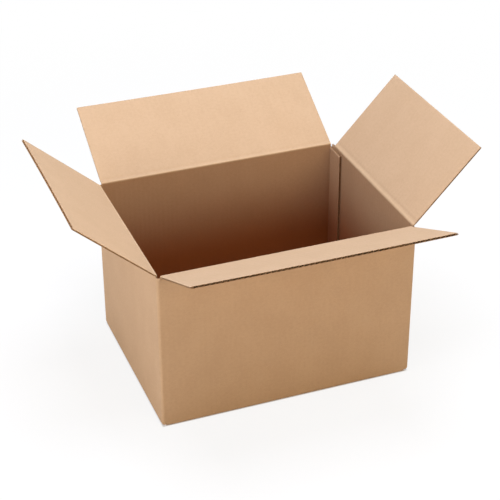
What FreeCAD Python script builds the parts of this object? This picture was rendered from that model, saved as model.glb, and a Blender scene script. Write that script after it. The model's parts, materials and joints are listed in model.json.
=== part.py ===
import FreeCAD, Part
import math
import os

# Open cardboard box of the slotted kind: one creased, slotted and glued sheet of
# single-wall corrugated board, standing on its closed bottom with four open top flaps.
# Millimetres. Origin at the middle of the base, +X along the length, +Y to the back.
# Each wall is drawn as if it were the front wall and then turned about Z to its place.

# The board and the space inside the box
board = 4.0
length_inside = 400.0
width_inside = 300.0
depth_inside = 248.0

# The top creases: a crushed web of board is the fold line of each flap. The short-side
# flaps fold near their outside face and the long-side flaps near their inside face,
# so the long-side flaps can close on top of the others from almost the same height.
web_thickness = 1.2
fold_clearance = 0.3
lid_clearance = 0.3
fold_in_limit = 90.0
fold_back_limit = 135.0

# How far each flap stands open, in degrees outward from upright
front_open = 65.7
back_open = 59.8
left_open = 48.9
right_open = 43.1

# Slots between the flaps, cut a little past the creases; beside the glued corner the
# right wall's two flaps are trimmed back further than the rest
slot_width = 9.0
glued_corner_trim = 6.0
slot_past_crease = 1.0
closed_seam = 1.0

# Folds between walls, and between walls and bottom flaps
corner_radius_outer = 4.0
corner_radius_inner = 1.0
bottom_radius = 3.0
short_fold_height = 1.5
base_slot_height = 3.0
base_seam_offset = 1.5

# The glue tab folds off the back wall and lies on the inside of the right wall
tab_width = 38.0
tab_top_drop = 4.0
tab_end_taper = 1.0
joint_setback = 1.5

# Worked out from the sizes above
outer_length = length_inside + 2 * board
outer_width = width_inside + 2 * board
half_length = outer_length / 2
half_width = outer_width / 2
web_radius = web_thickness / 2
floor_top = 2 * board
short_axis_depth = web_radius
long_axis_depth = board - web_radius
short_crease = floor_top + depth_inside + board - short_axis_depth
long_crease = short_crease + short_axis_depth + lid_clearance + (board - long_axis_depth)
long_flap = half_width - long_axis_depth - closed_seam / 2
short_flap = long_flap + long_crease - short_crease
slot_floor = short_crease - slot_past_crease
fold_gap = web_radius + fold_clearance
over = board


class Wall:
    """One wall, with its place, its fold line and the slots at its two ends."""

    def __init__(self, name, turn, half_out, half_along, depth, crease, flap, opened, trim):
        self.name = name
        self.turn = turn
        self.outer = -half_out
        self.inner = -half_out + board
        self.fold_y = -half_out + depth
        self.fold_z = crease
        self.flap = flap
        self.opened = opened
        self.out_of_fold = depth
        self.in_of_fold = board - depth
        self.start = -half_along + board / 2 + slot_width / 2
        self.end = half_along - board / 2 - slot_width / 2 - trim

    def place(self, shape):
        """Turns a shape drawn for the front wall about Z to this wall."""
        turned = shape.copy()
        turned.rotate(FreeCAD.Vector(0, 0, 0), FreeCAD.Vector(0, 0, 1), self.turn)
        return turned


front = Wall("front", 0, half_width, half_length, long_axis_depth, long_crease,
             long_flap, front_open, 0)
right = Wall("right", 90, half_length, half_width, short_axis_depth, short_crease,
             short_flap, right_open, glued_corner_trim)
back = Wall("back", 180, half_width, half_length, long_axis_depth, long_crease,
            long_flap, back_open, 0)
left = Wall("left", 270, half_length, half_width, short_axis_depth, short_crease,
            short_flap, left_open, 0)
walls = [front, right, back, left]


def prism_along_x(edges, start, end):
    """A closed outline in the YZ plane, carried along X from start to end."""
    face = Part.Face(Part.Wire(edges))
    face.translate(FreeCAD.Vector(start, 0, 0))
    return face.extrude(FreeCAD.Vector(end - start, 0, 0))


def line(a, b):
    """A straight edge between two (y, z) points in the YZ plane."""
    return Part.LineSegment(FreeCAD.Vector(0, *a), FreeCAD.Vector(0, *b)).toShape()


def outline(points):
    """Straight edges through (y, z) points, back to the first one."""
    return [line(a, b) for a, b in zip(points, points[1:] + points[:1])]


def fold_arc(y, z, radius):
    """Quarter round from the wall's outer face, at y, to an underside at height z."""
    centre = FreeCAD.Vector(0, y + radius, z + radius)
    bend = radius * math.sqrt(0.5)
    return Part.Arc(centre - FreeCAD.Vector(0, radius, 0),
                    centre - FreeCAD.Vector(0, bend, bend),
                    centre - FreeCAD.Vector(0, 0, radius)).toShape()


def rounded_column(half_x, half_y, radius, bottom, top):
    """A block with rounded upright edges, centred on the origin in plan."""
    block = Part.makeBox(2 * half_x, 2 * half_y, top - bottom,
                         FreeCAD.Vector(-half_x, -half_y, bottom))
    upright = [e for e in block.Edges
               if abs(e.Vertexes[0].Z - e.Vertexes[1].Z) > (top - bottom) / 2]
    return block.makeFillet(radius, upright)


def make_flap(wall):
    """One top flap: a panel that narrows to its crushed web, turned outward on it."""
    slope_in = math.tan(math.radians(fold_in_limit / 2))
    slope_back = math.tan(math.radians(fold_back_limit / 2))
    inner = wall.fold_y + wall.in_of_fold
    outer = wall.fold_y - wall.out_of_fold
    tip = wall.fold_z + wall.flap
    panel = prism_along_x(outline([
        (wall.fold_y, wall.fold_z),
        (inner, wall.fold_z + wall.in_of_fold * slope_in),
        (inner, tip),
        (outer, tip),
        (outer, wall.fold_z + wall.out_of_fold * slope_back),
    ]), wall.start, wall.end)
    web = Part.makeCylinder(web_radius, wall.end - wall.start,
                            FreeCAD.Vector(wall.start, wall.fold_y, wall.fold_z),
                            FreeCAD.Vector(1, 0, 0))
    flap = panel.fuse(web).removeSplitter()
    flap.rotate(FreeCAD.Vector(0, wall.fold_y, wall.fold_z), FreeCAD.Vector(1, 0, 0),
                wall.opened)
    return wall.place(flap)


def crease_cut(wall):
    """What is cut off a wall's top so that its flap can fold both ways."""
    slope_in = math.tan(math.radians(fold_in_limit / 2))
    slope_back = math.tan(math.radians(fold_back_limit / 2))
    peak = wall.fold_z - fold_gap
    reach_out = wall.out_of_fold + over
    reach_in = wall.in_of_fold + over
    ceiling = long_crease + over
    return wall.place(prism_along_x(outline([
        (wall.fold_y, peak),
        (wall.fold_y + reach_in, peak - reach_in * slope_in),
        (wall.fold_y + reach_in, ceiling),
        (wall.fold_y - reach_out, ceiling),
        (wall.fold_y - reach_out, peak - reach_out * slope_back),
    ]), wall.start - fold_clearance, wall.end + fold_clearance))


def corner_cut(wall, following):
    """The slot over the corner between a wall and the next one round the box."""
    corner = Part.makeBox(
        -following.outer - wall.end + over, following.start - wall.outer + over,
        long_crease + over - slot_floor,
        FreeCAD.Vector(wall.end, wall.outer - over, slot_floor))
    return wall.place(corner)


def make_long_bottom(wall, tip):
    """A long-side bottom flap, folded under the box; tip is where it ends in Y."""
    edges = [
        line((wall.outer, floor_top), (wall.outer, bottom_radius)),
        fold_arc(wall.outer, 0, bottom_radius),
        line((wall.outer + bottom_radius, 0), (tip, 0)),
        line((tip, 0), (tip, board)),
        line((tip, board), (wall.inner, board)),
        line((wall.inner, board), (wall.inner, floor_top)),
        line((wall.inner, floor_top), (wall.outer, floor_top)),
    ]
    return wall.place(prism_along_x(edges, wall.start, wall.end))


def make_short_bottom(wall):
    """A short-side bottom flap, which steps up over the long-side ones it lies on."""
    fold = wall.outer + bottom_radius
    step = wall.outer + board / 2 + slot_width / 2
    tip = wall.fold_y + short_flap
    edges = [
        line((wall.outer, 2 * floor_top), (wall.outer, short_fold_height + bottom_radius)),
        fold_arc(wall.outer, short_fold_height, bottom_radius),
        line((fold, short_fold_height), (step, board)),
        line((step, board), (tip, board)),
        line((tip, board), (tip, floor_top)),
        line((tip, floor_top), (step, floor_top)),
        line((step, floor_top), (wall.inner, short_fold_height + board)),
        line((wall.inner, short_fold_height + board), (wall.inner, 2 * floor_top)),
        line((wall.inner, 2 * floor_top), (wall.outer, 2 * floor_top)),
    ]
    return wall.place(prism_along_x(edges, wall.start, wall.end))


def make_tab():
    """The glue tab, seen square on to the right wall, with its two tapered ends."""
    top = short_crease - tab_top_drop
    bottom = floor_top + tab_top_drop
    near = width_inside / 2 - tab_width
    far = width_inside / 2
    face = length_inside / 2
    plan = outline([
        (near, bottom + tab_end_taper),
        (near, top - tab_end_taper),
        (far, top),
        (far, bottom),
    ])
    return prism_along_x(plan, face - board, face)


def joint_cut():
    """The strip between the right wall's cut end and the fold of the glue tab."""
    height = long_crease + over
    return Part.makeBox(board + over, joint_setback + over, height,
                        FreeCAD.Vector(length_inside / 2, half_width - joint_setback, 0))


def make_body():
    """The four walls, the glue tab and the four glued bottom flaps: one folded sheet."""
    column = rounded_column(half_length, half_width, corner_radius_outer,
                            base_slot_height, long_crease)
    hollow = rounded_column(length_inside / 2, width_inside / 2, corner_radius_inner,
                            0, long_crease + over)
    body = column.cut(hollow)
    for wall, following in zip(walls, walls[1:] + walls[:1]):
        body = body.cut(crease_cut(wall))
        body = body.cut(corner_cut(wall, following))
    body = body.cut(joint_cut())
    body = body.fuse([
        make_long_bottom(front, base_seam_offset - closed_seam / 2),
        make_long_bottom(back, -base_seam_offset - closed_seam / 2),
        make_short_bottom(left),
        make_short_bottom(right),
        make_tab(),
    ])
    return body.removeSplitter()


def save(shape, node):
    """Writes one node as parts/NODE.step and prints what it is."""
    shape.exportStep(os.path.join("parts", node + ".step"))
    box = shape.BoundBox
    print("%-11s %d solid  valid %s  %.1f cm3  x %.1f..%.1f  y %.1f..%.1f  z %.1f..%.1f" % (
        node, len(shape.Solids), shape.isValid(), shape.Volume / 1000,
        box.XMin, box.XMax, box.YMin, box.YMax, box.ZMin, box.ZMax))


os.makedirs("parts", exist_ok=True)
save(make_body(), "box_body")
for wall in walls:
    save(make_flap(wall), wall.name + "_flap")
print("fold heights: long sides %.2f, short sides %.2f" % (long_crease, short_crease))
print("fold lines: y %.2f, x %.2f" % (half_width - long_axis_depth,
                                      half_length - short_axis_depth))
print("flap lengths: long sides %.2f, short sides %.2f" % (long_flap, short_flap))
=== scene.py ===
# %% [markdown]
# # Dressing an open cardboard box
# The box is one flat sheet of corrugated board: creased, slotted, glued along one corner,
# and stood on its closed bottom with its four top flaps open. The measured CAD model gives
# the sizes and the fold lines. This lesson builds the board itself: two paper liners with
# a wavy sheet between them, which shows wherever the board was cut.

# %% Load the measured model
import json
import math

import bpy
import numpy as np
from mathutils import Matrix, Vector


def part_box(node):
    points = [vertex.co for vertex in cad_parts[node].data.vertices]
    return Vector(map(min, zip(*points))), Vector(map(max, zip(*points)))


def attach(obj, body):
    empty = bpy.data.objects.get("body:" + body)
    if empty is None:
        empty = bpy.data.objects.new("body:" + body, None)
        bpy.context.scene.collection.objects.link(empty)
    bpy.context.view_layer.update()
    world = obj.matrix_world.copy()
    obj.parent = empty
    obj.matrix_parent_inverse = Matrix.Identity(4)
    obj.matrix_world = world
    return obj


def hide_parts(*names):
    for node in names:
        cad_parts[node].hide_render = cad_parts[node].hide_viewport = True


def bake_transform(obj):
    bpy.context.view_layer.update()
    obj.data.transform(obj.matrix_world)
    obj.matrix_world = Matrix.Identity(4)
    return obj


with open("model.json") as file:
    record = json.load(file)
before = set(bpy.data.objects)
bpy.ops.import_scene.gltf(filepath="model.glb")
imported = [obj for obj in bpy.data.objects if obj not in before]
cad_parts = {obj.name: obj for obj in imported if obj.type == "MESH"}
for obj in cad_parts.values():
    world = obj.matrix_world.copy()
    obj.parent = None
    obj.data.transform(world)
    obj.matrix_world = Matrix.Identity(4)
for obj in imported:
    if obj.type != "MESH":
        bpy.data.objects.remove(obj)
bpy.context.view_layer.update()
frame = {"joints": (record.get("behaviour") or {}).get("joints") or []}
MM = 0.001

# %% [markdown]
# ## The camera
# The photograph was taken from above the front-left corner with a fairly long lens. The
# place, the tilt and the lens were worked out from the corners of the box, so the camera
# comes first and everything after it can be compared with the photograph.

# %% Camera
camera_data = bpy.data.cameras.new("camera")
camera_data.sensor_width = 36.0
camera_data.lens = 103.75
camera_data.clip_start = 0.05
camera_data.clip_end = 60.0
camera = bpy.data.objects.new("camera", camera_data)
camera.location = (-0.69452, -1.81461, 1.31917)
camera.rotation_euler = [math.radians(angle) for angle in (59.614, 0.191, -20.938)]
bpy.context.scene.collection.objects.link(camera)
bpy.context.scene.camera = camera
print("camera at", [round(value, 3) for value in camera.location])

# %% [markdown]
# ## What corrugated board is made of
# A cut through the board shows two flat liners, each as thick as a postcard, and a wavy
# fluting paper glued between their insides. The waves run up the walls. Everything below
# is in millimetres, and is turned into metres when a mesh is made.

# %% Board
BOARD = 4.0
LINER = 0.32
FLUTING = 0.26
PITCH = 7.9
PER_WAVE = 12


def smooth(share):
    """Nought to one with no corners: 3 t squared minus 2 t cubed, t held between 0 and 1."""
    share = np.clip(share, 0.0, 1.0)
    return share * share * (3 - 2 * share)


def bell(distance, width):
    """A rounded hump: e to the power of minus the square of distance over width."""
    return np.exp(-(distance / width) ** 2)


print("board %.1f mm thick, a wave every %.1f mm" % (BOARD, PITCH))

# %% [markdown]
# ## One blank, two directions
# Each place on the flat sheet has a number u, its distance round the box from the cut end
# of the right wall, and a number v, its height up the flutes. Walls, flaps, bottom flaps
# and glue tab all share them, so the waves and the paper's grain run on across every fold.
# A track turns u into a place on the floor plan: straight runs joined by tight bends.

# %% Tracks made of runs and bends
def track(distance, start, heading, runs):
    """Points and left-hand normals at distances along straight runs and round bends.

    A run is (length, turn in degrees). A straight run adds distance times its heading.
    A bend adds an arc of radius length / turn: radius times the change of the sine of
    the heading in x, and minus radius times the change of its cosine in y.
    """
    point = np.zeros(distance.shape + (2,)) + start
    heading = math.radians(heading)
    facing = np.full(distance.shape, heading)
    begin = 0.0
    for index, (length, turn) in enumerate(runs):
        end = length if index < len(runs) - 1 else None
        inside = np.clip(distance - begin, 0.0, end)
        if turn:
            radius = length / math.radians(turn)
            swept = inside / radius
            point[..., 0] += radius * (np.sin(heading + swept) - math.sin(heading))
            point[..., 1] -= radius * (np.cos(heading + swept) - math.cos(heading))
            facing = facing + swept
        else:
            point += inside[..., None] * (math.cos(heading), math.sin(heading))
        heading += math.radians(turn)
        begin += length
    return point, np.stack((-np.sin(facing), np.cos(facing)), axis=-1)


def bend(radius, turn):
    """A run that turns by that many degrees round a circle of that radius."""
    return radius * abs(math.radians(turn)), turn


# %% [markdown]
# ## The floor plan of the walls
# The sheet starts at the right wall's cut end, goes to the front, the left and the back,
# and folds in once more as the glue tab, which lies inside the right wall. The track
# follows the middle of the board.

# %% Ring of walls
low, high = (np.array(corner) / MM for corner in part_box("box_body"))
half_x, half_y = high[0], high[1]
mid_x, mid_y = half_x - BOARD / 2, half_y - BOARD / 2
CORNER = 2.5
TAB_CORNER = 2.1
RAW_END = 152.5
TAB_END = 112.0
GLUE_LINE = 0.1
tab_x = half_x - 1.5 * BOARD - GLUE_LINE
ring_runs = [
    (RAW_END + mid_y - CORNER, 0), bend(CORNER, -90),
    (2 * (mid_x - CORNER), 0), bend(CORNER, -90),
    (2 * (mid_y - CORNER), 0), bend(CORNER, -90),
    (mid_x - CORNER + tab_x - TAB_CORNER, 0), bend(TAB_CORNER, -90),
    (mid_y - TAB_CORNER - TAB_END, 0),
]
ring_starts = np.concatenate(([0.0], np.cumsum([length for length, turn in ring_runs])))
ring_length = ring_starts[-1]
print("the blank is %.0f mm long" % ring_length)


def ring_place(u, v, depth):
    """Wall points: the track's point, moved out by half a board less depth, at height v."""
    plan, normal = track(u, (mid_x, RAW_END), -90, ring_runs)
    plan = plan + normal * (BOARD / 2 - depth)[..., None]
    return np.stack((plan[..., 0], plan[..., 1], v), axis=-1)


# %% [markdown]
# ## The four sides
# Each wall carries a top flap on a crease, and a bottom flap. The crease lines, the
# opening angles and the widths are read from the CAD model's joints and boxes. The slots
# between the flaps are cut just past the lower creases. A flap's own piece starts lower
# still, where the board is wall, so that its bend has room.

# %% Sides
UP = np.array((0.0, 0.0, 1.0))
SLOT_PAST_CREASE, JOIN_PAST_CREASE = 1.0, 4.0
middle_u = {
    "right": RAW_END,
    "front": ring_starts[2] + mid_x - CORNER,
    "left": ring_starts[4] + mid_y - CORNER,
    "back": ring_starts[6] + mid_x - CORNER,
}
HEADING = {"right": -90, "front": 180, "left": 90, "back": 0}


class Side:
    """One wall's directions, crease and flap, measured from the CAD model."""

    def __init__(self, name):
        joint = next(j for j in frame["joints"] if j["child"] == name + "_flap")
        corners = np.array([list(corner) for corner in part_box(name + "_flap")]) / MM
        turned = math.radians(HEADING[name])
        self.name = name
        self.along = np.array((math.cos(turned), math.sin(turned), 0.0))
        self.out = np.array((-math.sin(turned), math.cos(turned), 0.0))
        self.crease = np.array(joint["pos_m"]) / MM
        self.open = -joint["range_deg"][0] - 90
        self.middle = middle_u[name]
        ends = sorted(corners @ self.along)
        self.start, self.end = self.middle + ends[0], self.middle + ends[1]
        self.face = abs(np.array((half_x, half_y, 0.0)) @ self.out)
        self.depth = self.face - self.crease @ self.out
        reach = max(corners @ self.out) - self.crease @ self.out
        angle = math.radians(self.open)
        self.length = (reach - self.depth * math.cos(angle)) / math.sin(angle)
        self.long = name in ("front", "back")


sides = {name: Side(name) for name in ("front", "right", "back", "left")}
for side in sides.values():
    print("%-5s crease %.1f mm up, %.1f mm in; flap %.1f mm long, open %.1f degrees" % (
        side.name, side.crease[2], side.depth, side.length, side.open))
crease_short, crease_long = sides["left"].crease[2], sides["front"].crease[2]
slot_floor = crease_short - SLOT_PAST_CREASE
flap_join = crease_short - JOIN_PAST_CREASE
print("slot floors %.1f mm up, flap pieces from %.1f mm up" % (slot_floor, flap_join))

# %% [markdown]
# ## Where the board is pressed thinner
# Scoring wheels press the board along each crease, and the cutting knives squeeze it at
# every edge. So the two faces aren't flat: each has a depth that depends on the distance
# to the nearest crease and the nearest cut. The slotting knives crush an edge almost shut,
# and the edges that were cut first, across the whole sheet, stay open.

# %% Pressed faces
CUT_PRESS, CUT_WIDTH = 0.34, 1.7
SLOT_PRESS, SLOT_WIDTH = 0.95, 1.5
GROOVE_PRESS, GROOVE_WIDTH, GROOVE_AT = 0.35, 2.2, 6.0
LONG_SCORE, LONG_SCORE_WIDTH = 1.6, 5.0
SHORT_SCORE, SHORT_SCORE_WIDTH = 0.35, 3.0


def squeezed(from_slot, from_cut):
    """How far each face is pressed in, from the distances to a slot and to a plain cut."""
    return np.maximum(SLOT_PRESS * bell(from_slot, SLOT_WIDTH),
                      CUT_PRESS * bell(from_cut, CUT_WIDTH))


def pressed(from_crease, cut, long_share):
    """Depths of the outer and inner face, from the distance to a crease and a cut's press.

    Outside: a hump of pressing centred on the crease, deeper on the long sides.
    Inside: a shallow groove on the flap's side of the crease. A cut presses both faces.
    """
    long_score = LONG_SCORE * bell(from_crease, LONG_SCORE_WIDTH)
    short_score = SHORT_SCORE * bell(from_crease, SHORT_SCORE_WIDTH)
    outer = cut + short_score + long_share * (long_score - short_score)
    groove = GROOVE_PRESS * bell(from_crease - GROOVE_AT, GROOVE_WIDTH)
    return outer, BOARD - cut - groove


# %% [markdown]
# ## From grids to closed sheets
# A sheet of paper is a grid of points for its outer face and one for its inner face,
# joined round the rim. A board is three of these. Each face remembers whether it is an
# outer face, an inner face or part of a cut, which picks its material later.

# %% Closed sheets
OUTSIDE, INSIDE, WAVE, CUT = range(4)
SHARP_ANGLE = 55


def sheet(outer, inner):
    """Points and quads of a closed sheet between two grids; quads are front, back, rim.

    Corner k of a quad is the grid number row * columns + column, plus the size of the
    first grid for the second one. The rim follows the border once round.
    """
    rows, columns = outer.shape[:2]
    number = np.arange(rows * columns).reshape(rows, columns)
    a, b = number[:-1, :-1].ravel(), number[:-1, 1:].ravel()
    c, d = number[1:, 1:].ravel(), number[1:, :-1].ravel()
    front = np.stack((a, d, c, b), axis=1)
    back = np.stack((a, b, c, d), axis=1) + rows * columns
    border = np.concatenate((number[0, :-1], number[:-1, -1], number[-1, :0:-1],
                             number[:0:-1, 0]))
    following = np.roll(border, -1)
    rim = np.stack((border, following, following + rows * columns,
                    border + rows * columns), axis=1)
    points = np.concatenate((outer.reshape(-1, 3), inner.reshape(-1, 3)))
    return points, (front, back, rim)


def add_mesh(name, parts, materials):
    """One object from sheets: (points, quads by kind, sheet coordinates, three tags)."""
    mesh = bpy.data.meshes.new(name)
    firsts = np.cumsum([0] + [len(part[0]) for part in parts])
    points = np.concatenate([part[0] for part in parts]) * MM
    quads = np.concatenate([np.concatenate(part[1]) + first
                            for part, first in zip(parts, firsts)])
    tags = np.concatenate([np.repeat(part[3], [len(kind) for kind in part[1]])
                           for part in parts])
    mesh.from_pydata(points, [], quads)
    mesh.polygons.foreach_set("material_index", tags.astype(np.int32))
    corners = np.zeros(len(mesh.loops), np.int32)
    mesh.loops.foreach_get("vertex_index", corners)
    coordinates = np.concatenate([part[2] for part in parts]) * MM
    layer = mesh.uv_layers.new(name="Sheet")
    layer.data.foreach_set("uv", coordinates[corners].astype(np.float32).ravel())
    mesh.shade_smooth()
    mesh.set_sharp_from_angle(angle=math.radians(SHARP_ANGLE))
    for material in materials:
        mesh.materials.append(material)
    mesh.validate()
    piece = bpy.data.objects.new(name, mesh)
    bpy.context.scene.collection.objects.link(piece)
    return piece


def enclosed(points, quads):
    """Volume inside a closed sheet in mm3: positive when its faces point outwards."""
    a, b, c, d = (points[quads[:, k]] for k in range(4))
    return (np.einsum("ij,ij", a, np.cross(b, c)) + np.einsum("ij,ij", a, np.cross(c, d))) / 6


# %% [markdown]
# ## A board from its three papers
# The fluting paper is a sine wave in depth between the liners. Where the board is
# pressed, the wave has less room and its swing shrinks, down to almost nothing.

# %% Board maker
LEAST_SWING = 0.05


def add_board(name, columns, rows, wave_rows, height, faces, place, materials):
    """Outer liner, fluting and inner liner over a grid of u and rows, as one object.

    The fluting's depth is the middle of the board plus its swing times the sine of
    2 pi u / pitch. Half its thickness is divided by the cosine of its slope.
    """
    wave_columns = stations(columns[0], columns[-1], PITCH / PER_WAVE, [])
    parts = []
    for paper in ("outer", "wave", "inner"):
        u, row = np.meshgrid(*((wave_columns, wave_rows) if paper == "wave"
                               else (columns, rows)))
        v = height(u, row)
        front, back = faces(u, v)
        tags = (WAVE, WAVE, CUT)
        if paper == "outer":
            back = front + LINER
            tags = (OUTSIDE, WAVE, CUT)
        elif paper == "inner":
            front = back - LINER
            tags = (WAVE, INSIDE, CUT)
        else:
            turn = 2 * math.pi / PITCH
            swing = np.maximum((back - front - FLUTING) / 2 - LINER, LEAST_SWING)
            wave = (front + back) / 2 + swing * np.sin(turn * u)
            half = FLUTING / 2 * np.sqrt(1 + (turn * swing * np.cos(turn * u)) ** 2)
            front, back = wave - half, wave + half
        points, quads = sheet(place(u, v, front), place(u, v, back))
        coordinates = np.tile(np.stack((u.ravel(), v.ravel()), axis=1), (2, 1))
        parts.append((points, quads, coordinates, tags))
    piece = add_mesh(name, parts, materials)
    volume = [enclosed(points, np.concatenate(quads)) for points, quads, *rest in parts]
    print("%-18s %6d faces, papers of %s cm3" % (
        name, len(piece.data.polygons), [round(float(v) / 1000, 1) for v in volume]))
    return piece


# %% [markdown]
# ## Where the grids are fine
# The faces only change quickly beside a cut, a crease or a bend, so the grids are close
# there and wide elsewhere. Only across the waves is the fluting's grid close all along.

# %% Stations
CLOSE = 0.15
NEAR_CUT = np.array([0.0, 0.8, 1.8, 4.0])
CUT_REACH, CUT_STEP = 3.2, 0.8
COLUMN_STEP = 12.0


def near(cut):
    """The finer stations that the faces want round a cut."""
    return cut, CUT_REACH, CUT_STEP


def stations(start, end, step, fine):
    """Even stations from start to end, plus a finer set round each (centre, reach, step).

    An even station gives way where a finer one is close, and the two ends always stay.
    """
    finer = [centre + np.arange(-reach, reach + fine_step / 2, fine_step)
             for centre, reach, fine_step in fine]
    finer = np.clip(np.concatenate([[start, end]] + finer), start, end)
    even = np.linspace(start, end, int(round((end - start) / step)) + 1)
    even = even[np.abs(even[:, None] - finer).min(axis=1) > CLOSE]
    merged = np.sort(np.concatenate((finer, even)))
    merged = merged[np.concatenate(([True], np.diff(merged) > CLOSE))]
    merged[-1] = end
    return merged


# %% [markdown]
# ## Shader sums as Python
# A small class wraps a shader socket, so that an expression such as 1 - mask * 0.3 adds
# its Math nodes by itself. Colours are mixed with a Mix node, since a Math node would
# turn them grey.

# %% Shader helper
class Signal:
    """A shader socket that can stand in a sum."""

    def __init__(self, recipe, socket):
        self.recipe = recipe
        self.socket = socket

    def maths(self, operation, *values):
        return self.recipe.node("ShaderNodeMath", {"operation": operation},
                                dict(enumerate(values)))

    def __add__(self, other):
        return self.maths("ADD", self, other)

    def __sub__(self, other):
        return self.maths("SUBTRACT", self, other)

    def __rsub__(self, other):
        return self.maths("SUBTRACT", other, self)

    def __mul__(self, other):
        return self.maths("MULTIPLY", self, other)

    __radd__ = __add__
    __rmul__ = __mul__

    def __abs__(self):
        return self.maths("ABSOLUTE", self)

    def sine(self):
        return self.maths("SINE", self)

    def larger(self, other):
        return self.maths("MAXIMUM", self, other)

    def ramp(self, start, end):
        """Nought below start, one above end, smooth in between."""
        return self.recipe.node("ShaderNodeMapRange", {"interpolation_type": "SMOOTHSTEP"},
                                {0: self, 1: start, 2: end, 3: 0.0, 4: 1.0})


class Recipe:
    """The nodes of a material, or of the world."""

    def __init__(self, owner, output="ShaderNodeOutputMaterial"):
        owner.use_nodes = True
        self.owner = owner
        self.nodes = owner.node_tree.nodes
        self.links = owner.node_tree.links
        self.nodes.clear()
        self.output = self.nodes.new(output)

    def node(self, kind, settings, values, output=0):
        """Adds a node: its settings first, then its sockets' values or links."""
        node = self.nodes.new(kind)
        for key, value in settings.items():
            setattr(node, key, value)
        for key, value in values.items():
            if isinstance(value, Signal):
                self.links.new(value.socket, node.inputs[key])
            else:
                node.inputs[key].default_value = value
        return Signal(self, node.outputs[output])

    def mix(self, share, first, second):
        """A colour that goes from first to second as share goes from nought to one."""
        return self.node("ShaderNodeMix", {"data_type": "RGBA"},
                         {0: share, 6: first, 7: second}, 2)

    def seen(self):
        """One for rays that show a background: straight, glossy, or through glass."""
        rays = self.nodes.new("ShaderNodeLightPath")
        straight, glossy, through = (Signal(self, rays.outputs["Is %s Ray" % kind])
                                     for kind in ("Camera", "Glossy", "Transmission"))
        return straight.larger(glossy).larger(through)

    def surface(self, shader):
        self.links.new(shader.socket, self.output.inputs["Surface"])
        return self.owner


# %% [markdown]
# ## Kraft paper
# Brown kraft liner is unbleached wood fibre. It has soft clouds of lighter and darker
# stock, fibres that lie mostly round the box, a few dark specks, and the faintest
# washboard where it is glued to the waves, as a bump with a faint painted shade in its
# tone. Its patterns use the blank's own u and v, so they turn with the flaps. The creases
# get a pale band that is partly rubbed wear and partly a painted highlight of the crease's
# ridge. Below the creases the inside of the box carries painted shade, darker and redder
# the further down. Nearly all of the paper's light is scattered: it has only a dull sheen.
#
# Each pattern below is given by its lumps per metre along u and along v, and its detail.
# Heights are in metres.

# %% Kraft material
CLOUDS = (22.0, 16.0, 3.0)
STOCK = (170.0, 260.0, 2.0)
FIBRES = (420.0, 2300.0, 3.0)
SPECKS = (900.0, 1500.0, 1.0)
GRAIN = 0.55
SPECK_FROM, SPECK_TO, SPECK_INK = 0.735, 0.79, 0.45
TONE_FROM, TONE_TO = 0.36, 0.64
# Painted shade inside the box: it fades out between these heights, keeps a quarter up to the
# rim, and is about half as strong on the bottom.
PAINTED_SHADE_FROM, PAINTED_SHADE_TO, PAINTED_SHADE_AT_RIM = 0.09, 0.23, 0.25
RIM_FADE = 0.003
BASE_FADE, PAINTED_SHADE_ON_BASE = 0.08, 0.45
# A pale band along the creases: partly rubbed wear, partly a painted highlight of the
# crease's ridge.
CREASE_BAND_WIDTH, CREASE_BAND_LEAST, CREASE_BAND_CLOUDS = 0.002, 0.25, 0.35
CREASE_WEAR_AND_HIGHLIGHT = (0.68, 0.49, 0.3, 1)
ROUGHNESS, FIBRE_SHINE = 0.86, 0.16
DULL_SHEEN = {"Specular IOR Level": 0.22, "Sheen Weight": 0.04, "Sheen Roughness": 0.6}
# The last share is a faint painted shade of the washboard's waves.
CLOUD_TONE, STOCK_TONE, FIBRE_TONE, PAINTED_WAVE_SHADE = 0.28, 0.28, 0.44, 0.01
FIBRE_RELIEF, STOCK_RELIEF = 0.03, 0.02
crease_height = (crease_short + crease_long) / 2 * MM


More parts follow.
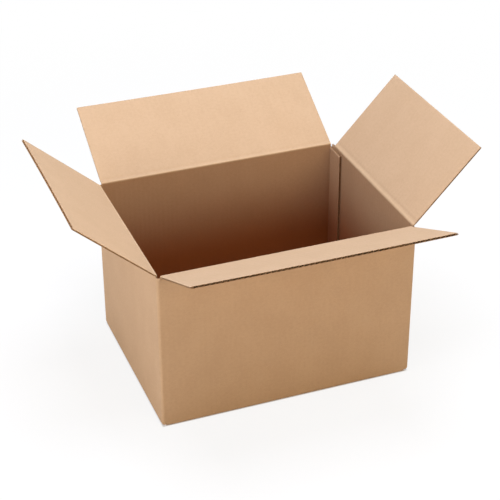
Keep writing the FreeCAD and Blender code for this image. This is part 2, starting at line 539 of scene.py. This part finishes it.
def kraft(name, light, dark, speck, washboard, painted_shade=None):
    """Kraft paper between two tones, with specks and a washboard of so many millimetres.

    Below the creases it is multiplied by a painted shade colour: a little at the rim,
    wholly low down on the walls, and by about half on the bottom.
    """
    recipe = Recipe(bpy.data.materials.new(name))
    place = recipe.node("ShaderNodeUVMap", {"uv_map": "Sheet"}, {})

    def noise(u_scale, v_scale, detail):
        spot = recipe.node("ShaderNodeVectorMath", {"operation": "MULTIPLY"},
                           {0: place, 1: (u_scale, v_scale, 1.0)})
        return recipe.node("ShaderNodeTexNoise", {"noise_dimensions": "2D"},
                           {"Vector": spot, "Scale": 1.0, "Detail": detail,
                            "Roughness": GRAIN})

    clouds = noise(*CLOUDS)
    stock = noise(*STOCK)
    fibres = noise(*FIBRES)
    specks = noise(*SPECKS).ramp(SPECK_FROM, SPECK_TO)
    around = recipe.node("ShaderNodeSeparateXYZ", {}, {0: place}, 0)
    up = recipe.node("ShaderNodeSeparateXYZ", {}, {0: place}, 1)
    wave = (around * (2 * math.pi / (PITCH * MM))).sine()
    # The wave's part of the tone is a faint painted shade of the washboard.
    tone = clouds * CLOUD_TONE + stock * STOCK_TONE + fibres * FIBRE_TONE + wave * PAINTED_WAVE_SHADE
    colour = recipe.mix(tone.ramp(TONE_FROM, TONE_TO), dark, light)
    colour = recipe.mix(specks * SPECK_INK, colour, speck)
    # Painted shade: below the creases the inside is multiplied towards a dark red-brown,
    # wholly low on the walls, by a quarter near the rim and by about half on the bottom.
    if painted_shade:
        share = 1 - up.ramp(PAINTED_SHADE_FROM, PAINTED_SHADE_TO) * (1 - PAINTED_SHADE_AT_RIM)
        share = share - up.ramp(crease_height - RIM_FADE, crease_height) * PAINTED_SHADE_AT_RIM
        share = share * (PAINTED_SHADE_ON_BASE + up.ramp(0.0, BASE_FADE) * (1 - PAINTED_SHADE_ON_BASE))
        colour = recipe.node("ShaderNodeMix", {"data_type": "RGBA", "blend_type": "MULTIPLY"},
                             {0: share, 6: colour, 7: painted_shade}, 2)
    # Pale band at the creases: partly rubbed wear, partly a painted highlight of the crease's
    # ridge.
    crease_band = up.ramp(crease_height - CREASE_BAND_WIDTH, crease_height)
    crease_band = crease_band - up.ramp(crease_height + CREASE_BAND_WIDTH / 2, crease_height + 2 * CREASE_BAND_WIDTH)
    colour = recipe.mix(crease_band * (CREASE_BAND_LEAST + clouds * CREASE_BAND_CLOUDS), colour, CREASE_WEAR_AND_HIGHLIGHT)
    height = fibres * FIBRE_RELIEF + stock * STOCK_RELIEF + wave * washboard
    normal = recipe.node("ShaderNodeBump", {}, {"Strength": 1.0, "Distance": MM,
                                                "Height": height})
    return recipe.surface(recipe.node("ShaderNodeBsdfPrincipled", {}, {
        "Base Color": colour, "Roughness": ROUGHNESS - fibres * FIBRE_SHINE,
        "Normal": normal, **DULL_SHEEN}))


kraft_outer = kraft("kraft_outer", (0.53, 0.343, 0.197, 1), (0.487, 0.309, 0.174, 1),
                    (0.2, 0.11, 0.055, 1), 0.015)
# The inner liner's last colour is a painted shade, multiplied in below the creases.
kraft_inner = kraft("kraft_inner", (0.565, 0.388, 0.24, 1), (0.525, 0.356, 0.214, 1),
                    (0.22, 0.12, 0.06, 1), 0.03, (0.48, 0.2, 0.05, 1))
fluting_paper = kraft("fluting_paper", (0.55, 0.32, 0.15, 1), (0.44, 0.25, 0.11, 1),
                      (0.2, 0.11, 0.055, 1), 0.0)
cut_paper = kraft("cut_paper", (0.5, 0.29, 0.14, 1), (0.33, 0.19, 0.09, 1),
                  (0.15, 0.08, 0.04, 1), 0.0)
papers = [kraft_outer, kraft_inner, fluting_paper, cut_paper]
print("papers:", [paper.name for paper in papers])

# %% [markdown]
# ## The ring of walls and the glue tab
# Between the slots the board ends in the open: at the slot floors above each corner, at
# the small slots in the base, at the right wall's cut end and round the glue tab. Under
# the flaps it carries on, so there the cut is only a join between two of our pieces. A
# slot's floor begins a hair away from the flap beside it, so that neither rubs.

# %% Walls
BASE_SLOT = 3.0
BASE_JOIN = 6.0
SLIT = 0.2
TAB_DROP, TAB_TAPER = 4.0, 1.0
WALL_WAVE_HEIGHTS = (60.0, 190.0, 242.0)
WALL_ROW_STEP = 16.0
BEND_FINE = (2.4, 0.4)
TOP_FINE = [(7.2, 0.8), (12.0, 3.0)]

order = [sides[name] for name in ("right", "front", "left", "back")]
flap_spans = [(side.start, side.end) for side in order]
slot_spans = list(zip([0.0] + [side.end for side in order],
                      [side.start for side in order] + [ring_length]))
tab_fold = ring_starts[7]
tab_flat = ring_starts[8]


def outside(u, spans):
    """Distance from u to the nearest (start, end) span, nought inside one."""
    return np.min([np.maximum(np.maximum(start - u, u - end), 0.0)
                   for start, end in spans], axis=0)


def tab_shares(u):
    """How far round the fold of the glue tab, and how far along its taper, u lies."""
    fold = smooth((u - tab_fold) / (tab_flat - tab_fold))
    return fold, np.clip((u - tab_flat) / (ring_length - tab_flat), 0.0, 1.0)


def cut_top(u):
    """The slot floors, then down over the fold to the tab, which tapers to its end."""
    fold, taper = tab_shares(u)
    return slot_floor + fold * (crease_short - TAB_DROP - slot_floor) - taper * TAB_TAPER


def cut_bottom(u):
    """The base slots, then up over the fold to the tab, which tapers to its end."""
    fold, taper = tab_shares(u)
    return BASE_SLOT + fold * (2 * BOARD + TAB_DROP - BASE_SLOT) + taper * TAB_TAPER


def wall_height(u, row):
    """Row 0 is the bottom edge and row 1 the top edge: joins under a flap, else cuts."""
    flapped = outside(u, flap_spans) < SLIT / 2
    bottom = np.where(flapped, BASE_JOIN, cut_bottom(u))
    top = np.where(flapped, flap_join, cut_top(u))
    return bottom + row * (top - bottom)


def long_share(u):
    """One on the long sides and nought on the short ones, turning over at the corners."""
    corners = ring_starts[[1, 2, 3, 4, 5, 6]]
    return np.interp(u, corners, (0, 1, 1, 0, 0, 1))


def wall_faces(u, v):
    """Pressed faces of a wall: from the end of its crease, and from the nearest cut."""
    share = long_share(u)
    crease = crease_short + share * (crease_long - crease_short)
    across = outside(u, slot_spans)
    from_slot = np.hypot(across, np.minimum(cut_top(u) - v, v - cut_bottom(u)))
    cut = squeezed(from_slot, np.minimum(u, ring_length - u))
    return pressed(-np.hypot(v - crease, outside(u, flap_spans)), cut, share)


cut_edges = np.unique(slot_spans)
corner_bends = [(ring_starts[i] + ring_starts[i + 1]) / 2 for i in (1, 3, 5, 7)]
wall_columns = stations(0.0, ring_length, COLUMN_STEP,
                        [near(edge) for edge in cut_edges]
                        + [(edge, SLIT, SLIT) for edge in cut_edges]
                        + [(centre, *BEND_FINE) for centre in corner_bends])
wall_span = flap_join - BASE_JOIN
wall_rows = stations(0.0, wall_span, WALL_ROW_STEP,
                     [near(0.0)] + [(wall_span, *fine) for fine in TOP_FINE]) / wall_span
wave_wall_rows = np.concatenate((NEAR_CUT, WALL_WAVE_HEIGHTS,
                                 wall_span - NEAR_CUT[::-1])) / wall_span
walls = add_board("wall_boards", wall_columns, wall_rows, wave_wall_rows, wall_height,
                  wall_faces, ring_place, papers)
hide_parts("box_body")

# %% [markdown]
# ## Top flaps folded at their creases
# A flap starts below the slots, where it is still wall, and bends at its crease. A point's
# share of the fold is a smooth step between two planes across the crease. Its share moves
# it, and that changes its share, so the sum is repeated until it settles.

# %% Fold
SETTLE_ROUNDS = 60


def fold_reach(side):
    """How far each plane lies from the crease line, along the line that halves the fold."""
    half = math.radians(side.open) / 2
    below = side.crease[2] - flap_join
    return below * math.cos(half) - side.depth * math.sin(half)


def fold_direction(side):
    """Halfway between straight up and the open flap, as (outward, up)."""
    half = math.radians(side.open) / 2
    return math.sin(half), math.cos(half)


def folded(side, out, up):
    """Turns (outward, up) places beside the crease outward by their share of the opening.

    A turn by an angle takes out to out cos + up sin, and up to up cos - out sin.
    """
    reach = fold_reach(side)
    across = fold_direction(side)
    share = smooth((up + reach) / (2 * reach))
    for _ in range(SETTLE_ROUNDS):
        angle = math.radians(side.open) * share
        turned_out = out * np.cos(angle) + up * np.sin(angle)
        turned_up = up * np.cos(angle) - out * np.sin(angle)
        along = turned_out * across[0] + turned_up * across[1]
        share = (share + smooth((along + reach) / (2 * reach))) / 2
    return turned_out, turned_up


# %% [markdown]
# ## The flaps themselves
# Real flaps are never quite flat. A flap that opens on top of others bows a little away
# from the box, and one that closes beneath bows a little towards it, so that they still
# shut without touching.

# %% Flaps
BOW = {"front": 0.8, "back": 1.0, "left": -0.8, "right": -0.8}
WAVE_ABOVE_CREASE = np.array([8.0, 10.0, 14.0, 60.0, 110.0])
FLAP_ROW_STEP = 12.0
CREASE_REACH, CREASE_STEP = 6.0, 0.5
GROOVE_CENTRE, GROOVE_REACH, FLAP_FINE_STEP = 9.0, 4.0, 1.0


def add_flap(side):
    """A top flap from its join with the wall to its free edge, bent at its crease."""
    half = (side.end - side.start) / 2
    centre = (side.end + side.start) / 2
    tip = side.crease[2] + side.length

    def place(u, v, depth):
        up = v - side.crease[2]
        rise = np.clip(up / side.length, 0.0, 1.0)
        bow = BOW[side.name] * rise * rise * (1 - ((u - centre) / half) ** 2)
        out, up = folded(side, side.depth - depth, up)
        angle = math.radians(side.open)
        out, up = out + bow * math.cos(angle), up - bow * math.sin(angle)
        return (side.crease + (u - side.middle)[..., None] * side.along
                + out[..., None] * side.out + up[..., None] * UP)

    def faces(u, v):
        from_side = np.minimum(u - side.start, side.end - u)
        from_slot = np.hypot(from_side, np.maximum(slot_floor - v, 0.0))
        return pressed(v - side.crease[2], squeezed(from_slot, tip - v), float(side.long))

    columns = stations(side.start, side.end, COLUMN_STEP, [near(side.start), near(side.end)])
    rows = stations(flap_join, tip, FLAP_ROW_STEP, [
        (side.crease[2], CREASE_REACH, CREASE_STEP),
        (side.crease[2] + GROOVE_CENTRE, GROOVE_REACH, FLAP_FINE_STEP),
        near(tip)])
    wave_rows = np.concatenate((
        stations(flap_join, side.crease[2] + CREASE_REACH, FLAP_FINE_STEP, []),
        side.crease[2] + WAVE_ABOVE_CREASE, tip - NEAR_CUT[::-1]))
    flap = add_board(side.name + "_flap_board", columns, rows, wave_rows,
                     lambda u, row: row, faces, place, papers)
    out, up = fold_direction(side)
    step = fold_reach(side) * (out * side.out + up * UP)
    tuple((side.crease - step) * MM)
    tuple((side.crease + step) * MM)
    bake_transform(flap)
    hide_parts(side.name + "_flap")
    return flap


flaps = [add_flap(side) for side in sides.values()]

# %% [markdown]
# ## The closed bottom
# The four bottom flaps fold under and are glued: the long ones lie on the ground and
# meet in a seam, and the short ones lie on top of them, inside. Each is the wall's board
# carried on along a track down the wall, round the fold and across the base.

# %% Bottom flaps
LONG_FOLD, SHORT_FOLD = 1.5, 1.0
SHORT_DROP = 1.5
RAMP = 45
FOLD_PRESS, FOLD_PRESS_WIDTH, OUTER_SHARE = 0.7, 2.2, 0.3
BASE_WAVE_ROW = 70.0
BASE_COLUMN_STEP, BASE_ROW_STEP = 24.0, 30.0
FOLD_SHIFT, FOLD_REACH, FOLD_STEP = 2.0, 6.0, 0.4
FOLD_WAVE_REACH, FOLD_WAVE_STEP = 8.0, 0.8
BOTTOM_TIP = {"front": 155.4, "back": 152.4, "left": 152.2, "right": 152.2}


def bottom_runs(side):
    """The runs of a bottom flap's track, from the join at BASE_JOIN up on the wall."""
    if side.long:
        down = BASE_JOIN - BOARD / 2 - LONG_FOLD
        across = BOTTOM_TIP[side.name] - BOARD / 2 - LONG_FOLD
        return [(down, 0), bend(LONG_FOLD, 90), (across, 0)]
    ramp = math.radians(RAMP)
    lift = BOARD + GLUE_LINE - SHORT_DROP
    down = BASE_JOIN - SHORT_DROP - BOARD / 2 - SHORT_FOLD
    slope = (lift - 2 * SHORT_FOLD * (1 - math.cos(ramp))) / math.sin(ramp)
    used = BOARD / 2 + SHORT_FOLD + 2 * SHORT_FOLD * math.sin(ramp) + slope * math.cos(ramp)
    return [(down, 0), bend(SHORT_FOLD, 90 + RAMP), (slope, 0), bend(SHORT_FOLD, -RAMP),
            (BOTTOM_TIP[side.name] - used, 0)]


def add_bottom_flap(side):
    """A bottom flap: the board swept along its track, seen in a cut across the wall."""
    runs = bottom_runs(side)
    length = sum(run for run, turn in runs)
    tip = BASE_JOIN - length
    fold = BASE_JOIN - runs[0][0] - runs[1][0] / 2

    def place(u, v, depth):
        section, normal = track(BASE_JOIN - v, (BOARD / 2, BASE_JOIN), -90, runs)
        section = section + normal * (depth - BOARD / 2)[..., None]
        out = side.face - section[..., 0]
        return ((u - side.middle)[..., None] * side.along + out[..., None] * side.out
                + section[..., 1:] * UP)

    def faces(u, v):
        from_side = np.minimum(u - side.start, side.end - u)
        from_slot = np.hypot(from_side, np.maximum(v - BASE_SLOT, 0.0))
        cut = squeezed(from_slot, v - tip)
        squeeze = FOLD_PRESS * bell(v - fold, FOLD_PRESS_WIDTH)
        return cut + OUTER_SHARE * squeeze, BOARD - cut - squeeze

    columns = stations(side.start, side.end, BASE_COLUMN_STEP,
                       [near(side.start), near(side.end)])
    rows = stations(tip, BASE_JOIN, BASE_ROW_STEP,
                    [near(tip), (fold - FOLD_SHIFT, FOLD_REACH, FOLD_STEP)])
    wave_rows = np.concatenate((
        tip + NEAR_CUT, [tip + BASE_WAVE_ROW],
        stations(fold - FOLD_WAVE_REACH, BASE_JOIN, FOLD_WAVE_STEP, [])))
    board = add_board(side.name + "_bottom_board", columns, rows, wave_rows,
                      lambda u, row: row, faces, place, papers)
    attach(board, "box")
    return board


bottoms = [add_bottom_flap(side) for side in sides.values()]
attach(walls, "box")
print("%d pieces of board" % (1 + len(flaps) + len(bottoms)))

# %% [markdown]
# ## A pale studio
# The photograph is a cut-out on white. Here the box stands on a white floor that also
# glows for the rays that show it, so it reads as white and lights nothing by that, yet a
# faint soft shadow still shows where the box stands. Far from the box only the glow is
# seen, so the floor has no visible end. Under the box it doesn't glow, so that the seams
# of the bottom stay dark from inside.

# %% Floor and world
FLOOR_GLOW = 0.86
GLOW_NEAR, GLOW_FAR = 0.5, 1.5
UNDER_BOX = 0.985
FLOOR_PAINT = (0.94, 0.94, 0.94, 1)
FLOOR_HALF, FLOOR_DROP = 20.0, 0.0005
WORLD_LIGHT = 0.2
floor_recipe = Recipe(bpy.data.materials.new("studio_floor"))
spot = floor_recipe.node("ShaderNodeTexCoord", {}, {}, "Object")
away = floor_recipe.node("ShaderNodeVectorMath", {"operation": "LENGTH"}, {0: spot}, "Value")
along_x, along_y = (floor_recipe.node("ShaderNodeSeparateXYZ", {}, {0: spot}, axis)
                    for axis in (0, 1))
part_x = abs(along_x) * (1 / (half_x * MM))
part_y = abs(along_y) * (1 / (half_y * MM))
glow_share = FLOOR_GLOW + away.ramp(GLOW_NEAR, GLOW_FAR) * (1 - FLOOR_GLOW)
glow_share = glow_share * part_x.larger(part_y).ramp(UNDER_BOX, 1.0)
paint = floor_recipe.node("ShaderNodeBsdfDiffuse", {}, {"Color": FLOOR_PAINT})
glow = floor_recipe.node("ShaderNodeEmission", {}, {"Color": (1, 1, 1, 1), "Strength": 1.0})
floor_material = floor_recipe.surface(floor_recipe.node(
    "ShaderNodeMixShader", {}, {0: floor_recipe.seen() * glow_share, 1: paint, 2: glow}))
floor_mesh = bpy.data.meshes.new("studio_floor")
floor_corners = [(x * FLOOR_HALF, y * FLOOR_HALF, 0.0)
                 for x, y in ((-1, -1), (1, -1), (1, 1), (-1, 1))]
floor_mesh.from_pydata(floor_corners, [], [(0, 1, 2, 3)])
floor_mesh.materials.append(floor_material)
studio_floor = bpy.data.objects.new("studio_floor", floor_mesh)
studio_floor.location.z = -FLOOR_DROP
bpy.context.scene.collection.objects.link(studio_floor)

world = bpy.data.worlds.new("studio")
bpy.context.scene.world = world
world_recipe = Recipe(world, "ShaderNodeOutputWorld")
world_level = world_recipe.seen() * (1.0 - WORLD_LIGHT) + WORLD_LIGHT
world_recipe.surface(world_recipe.node(
    "ShaderNodeBackground", {}, {"Color": (1, 1, 1, 1), "Strength": world_level}))

# %% [markdown]
# ## Lamps
# Four soft boxes: a cool one overhead, two weaker ones from the left and the upper right,
# and a weak warm one in front, high enough to reach over the front flap to the inside of
# the back wall. A lamp's power is written for its distance, so that a value of one lights
# a facing white sheet to full white.

# %% Lamps
TARGET = np.array((0.0, 0.0, 0.2))


def add_lamp(name, place, size, level, colour):
    """A square soft box aimed at the box; its power is pi squared times distance squared."""
    away = np.array(place) - TARGET
    distance = float(np.linalg.norm(away))
    data = bpy.data.lights.new(name, "AREA")
    data.shape = "SQUARE"
    data.size = size
    data.energy = level * math.pi ** 2 * distance ** 2
    data.color = colour
    lamp = bpy.data.objects.new(name, data)
    lamp.location = place
    yaw = math.atan2(away[0], -away[1])
    lamp.rotation_euler = (math.acos(away[2] / distance), 0.0, yaw)
    bpy.context.scene.collection.objects.link(lamp)
    print("%-10s %.0f W at %.1f m" % (name, data.energy, distance))
    return lamp


add_lamp("overhead", (0.0, 0.0, 2.4), 1.2, 1.13, (0.86, 0.88, 1.0))
add_lamp("left_box", (-2.2, -0.5, 0.7), 1.2, 0.51, (0.98, 0.96, 0.96))
add_lamp("right_box", (2.0, 0.2, 1.6), 1.2, 0.22, (0.93, 1.0, 0.98))
add_lamp("front_box", (0.7, -2.2, 1.1), 1.0, 0.27, (1.0, 0.76, 0.44))
bpy.context.scene.view_settings.view_transform = "Standard"

# %% [markdown]
# ## Finish
# The last line brings the scene up to date.

# %% Finish
bpy.context.view_layer.update()
